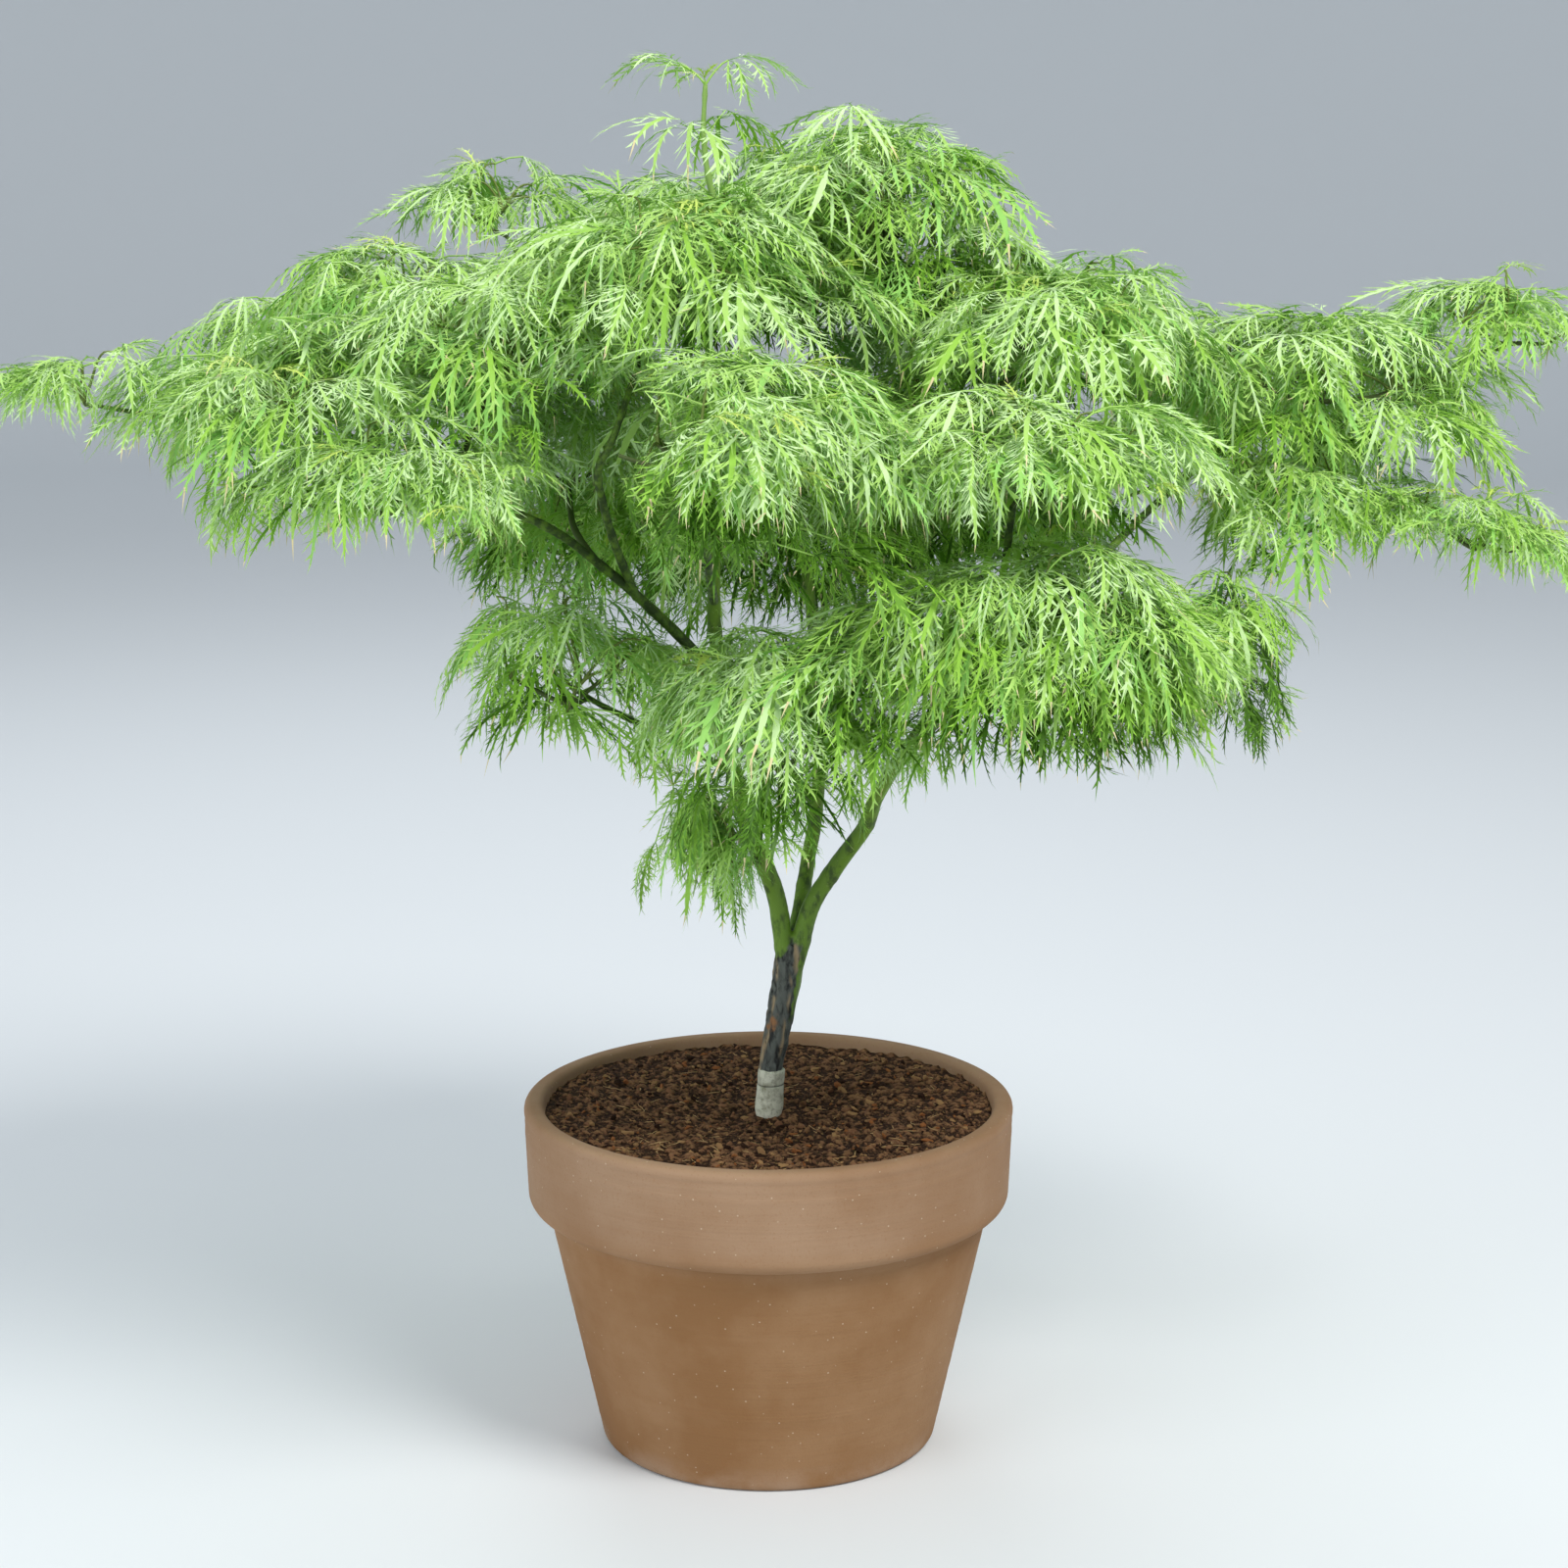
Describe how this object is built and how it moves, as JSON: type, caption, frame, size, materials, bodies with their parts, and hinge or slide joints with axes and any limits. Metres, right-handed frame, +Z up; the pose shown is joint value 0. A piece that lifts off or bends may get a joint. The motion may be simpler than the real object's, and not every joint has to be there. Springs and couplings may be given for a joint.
{
  "type": "potted laceleaf japanese maple",
  "caption": "Young grafted laceleaf japanese maple with a low spreading crown of fine drooping green leaves, planted in a plain terracotta pot filled with soil.",
  "frame": {"origin": "centre of the pot's flat underside, on the pot's axis", "axes": "+Z up along the pot's axis, -Y towards the side seen from the front, +X to the right of that view"},
  "size_m": [0.8937, 0.6272, 0.7921],
  "materials": {
    "terracotta": "unglazed, matt, fine grain",
    "compost": "rough crumbs",
    "bark": "dark rough bark with tan flakes",
    "graft_wrap": "matt pale grey graft seal",
    "greenwood": "smooth young green bark",
    "leaves_light": "soft satin leaves",
    "leaves_deep": "soft satin leaves"
  },
  "bodies": {
    "root": {"pot": "terracotta", "soil": "compost", "trunk": "bark", "graft_wrap": "graft_wrap", "limb_left": "greenwood", "limb_middle": "greenwood", "limb_right": "greenwood", "bough_back": "greenwood", "bough_back_left": "greenwood", "bough_back_right": "greenwood", "bough_front": "greenwood", "bough_front_rising": "greenwood", "bough_left": "greenwood", "bough_left_low": "greenwood", "bough_left_rising": "greenwood", "bough_right": "greenwood", "bough_shoulder_right": "greenwood", "bough_wing_right": "greenwood", "leader": "greenwood", "twig_crest_left": "greenwood", "twig_drop_right": "greenwood", "twig_tip_left": "greenwood", "twig_tip_right_low": "greenwood", "twig_tip_right_up": "greenwood", "twig_tuft": "greenwood", "leaves_back_left": "leaves_light", "leaves_back_low_left": "leaves_deep", "leaves_back_low_right": "leaves_deep", "leaves_back_middle": "leaves_light", "leaves_back_right": "leaves_light", "leaves_back_tip": "leaves_light", "leaves_centre_left": "leaves_light", "leaves_centre_upper": "leaves_light", "leaves_crest_back": "leaves_light", "leaves_crest_left": "leaves_light", "leaves_crest_right": "leaves_light", "leaves_drop_right": "leaves_deep", "leaves_fringe_left": "leaves_light", "leaves_front_dome": "leaves_light", "leaves_front_right": "leaves_light", "leaves_inner_back": "leaves_deep", "leaves_inner_left": "leaves_light", "leaves_inner_right": "leaves_deep", "leaves_leaf_right": "leaves_deep", "leaves_low_front": "leaves_light", "leaves_low_left": "leaves_deep", "leaves_low_right": "leaves_light", "leaves_shoulder_left": "leaves_light", "leaves_shoulder_middle": "leaves_light", "leaves_shoulder_right": "leaves_light", "leaves_spire_foot": "leaves_light", "leaves_spire_tip": "leaves_light", "leaves_tip_left": "leaves_light", "leaves_tip_right_low": "leaves_light", "leaves_tip_right_up": "leaves_light", "leaves_tuft": "leaves_deep", "leaves_wing_back_left": "leaves_light", "leaves_wing_back_right": "leaves_light", "leaves_wing_left": "leaves_light", "leaves_wing_right": "leaves_light"}
  },
  "joints": []
}
